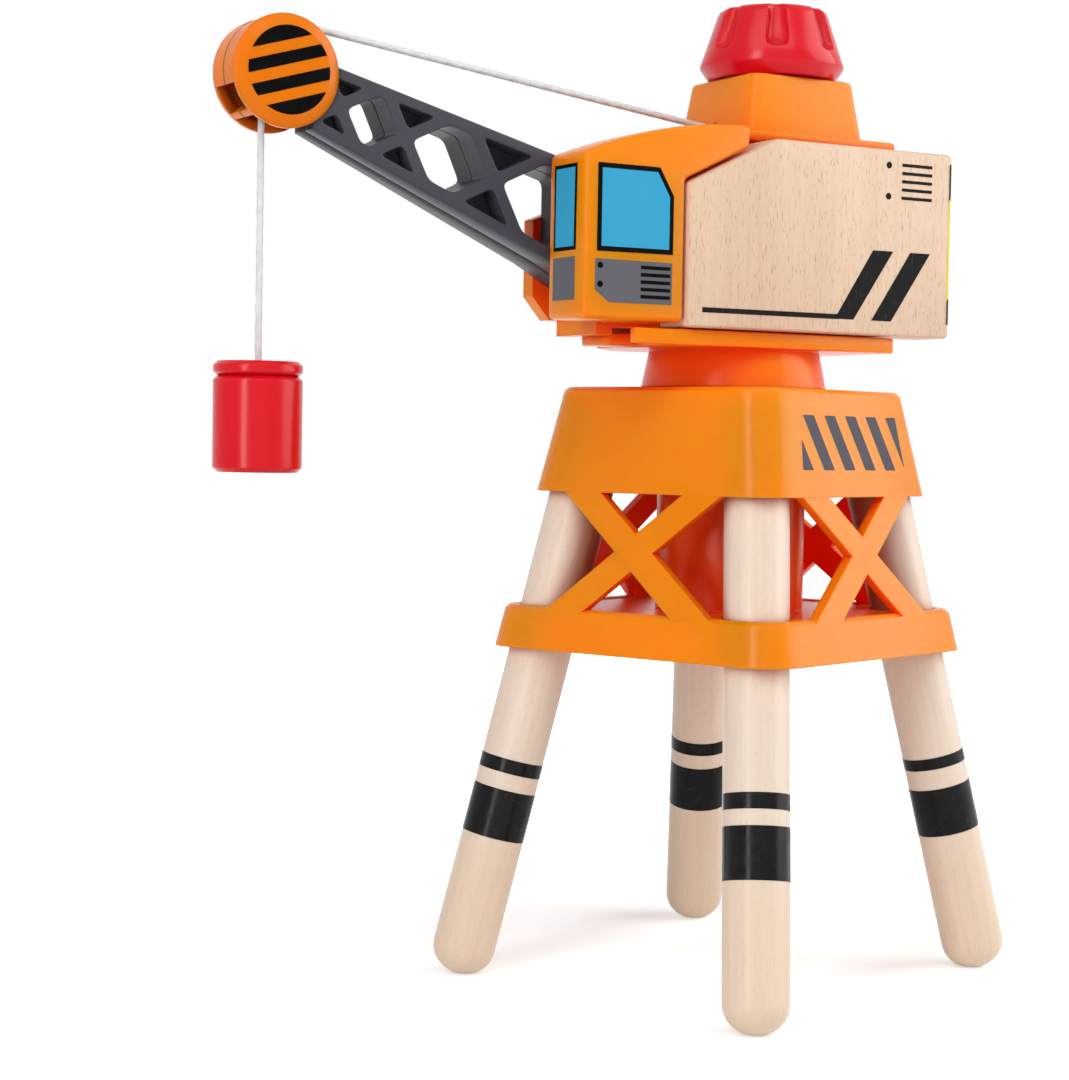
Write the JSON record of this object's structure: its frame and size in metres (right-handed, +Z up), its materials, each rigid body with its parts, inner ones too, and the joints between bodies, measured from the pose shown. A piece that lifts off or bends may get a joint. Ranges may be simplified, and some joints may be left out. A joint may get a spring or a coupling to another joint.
{
  "type": "toy tower crane",
  "caption": "Toy tower crane on splayed wooden legs, with a slewing turret, driver's cab, lattice jib, winding knob and a magnet that hangs on a string.",
  "frame": {"origin": "on the floor under the slewing axis, midway between the feet", "axes": "Z up along the slewing axis; X and Y square to the tower's faces, with the jib pointing mostly to -Y"},
  "size_m": [0.0781, 0.1394, 0.1786],
  "materials": {
    "orange_plastic": "moulded orange plastic",
    "red_plastic": "moulded red plastic",
    "grey_plastic": "moulded dark grey plastic",
    "beech": "clear varnish",
    "dowel_wood": "pale dowel, clear varnish",
    "steel": "plain steel",
    "string": "white twisted string"
  },
  "bodies": {
    "tower": {"leg_near": "dowel_wood", "leg_right": "dowel_wood", "leg_left": "dowel_wood", "leg_far": "dowel_wood", "tower_frame": "orange_plastic", "centre_post": "orange_plastic"},
    "turret": {"turntable": "orange_plastic", "slew_washer": "steel", "slew_screw": "steel", "turret_core": "orange_plastic", "cab": "orange_plastic", "top_housing": "orange_plastic", "jib_pin": "steel", "wood_left": "beech", "wood_right": "beech", "string_upper": "string"},
    "jib": {"jib_left": "grey_plastic", "jib_right": "grey_plastic", "drum_left": "orange_plastic", "drum_right": "orange_plastic", "line_guide": "grey_plastic", "guide_pin": "steel"},
    "winch": {"knob": "red_plastic", "winch_spool": "red_plastic", "string_winding": "string"},
    "line": {"string_hang": "string"},
    "magnet": {"magnet_cup": "red_plastic", "magnet_cap": "red_plastic", "magnet_disc": "steel", "line_knot": "string"}
  },
  "joints": [
    {"name": "slew", "type": "hinge", "parent": "tower", "child": "turret", "pos_m": [0, 0, 0.1081], "axis": [0, 0, 1], "continuous": true},
    {"name": "luff", "type": "hinge", "parent": "turret", "child": "jib", "pos_m": [-0.01152, -0.03199, 0.1315], "axis": [-0.9409, 0.3387, 0], "range_deg": [-20, 25], "deforming": ["string_upper"]},
    {"name": "winch", "type": "hinge", "parent": "turret", "child": "winch", "pos_m": [0.00245, 0.00681, 0.1655], "axis": [0, 0, 1], "range_deg": [-792, 280]},
    {"name": "line_swing", "type": "hinge", "parent": "jib", "child": "line", "pos_m": [-0.03145, -0.08736, 0.16415], "axis": [-0.9409, 0.3387, 0], "range_deg": [-26, 21]},
    {"name": "hoist", "type": "slide", "parent": "line", "child": "magnet", "axis": [0, 0, 1], "range_m": [-0.0855, 0.0306], "deforming": ["string_hang"]}
  ],
  "couplings": [
    {"joint": "hoist", "follows": "winch", "m_per_rad": 0.00615},
    {"joint": "line_swing", "follows": "luff", "ratio": -1}
  ]
}
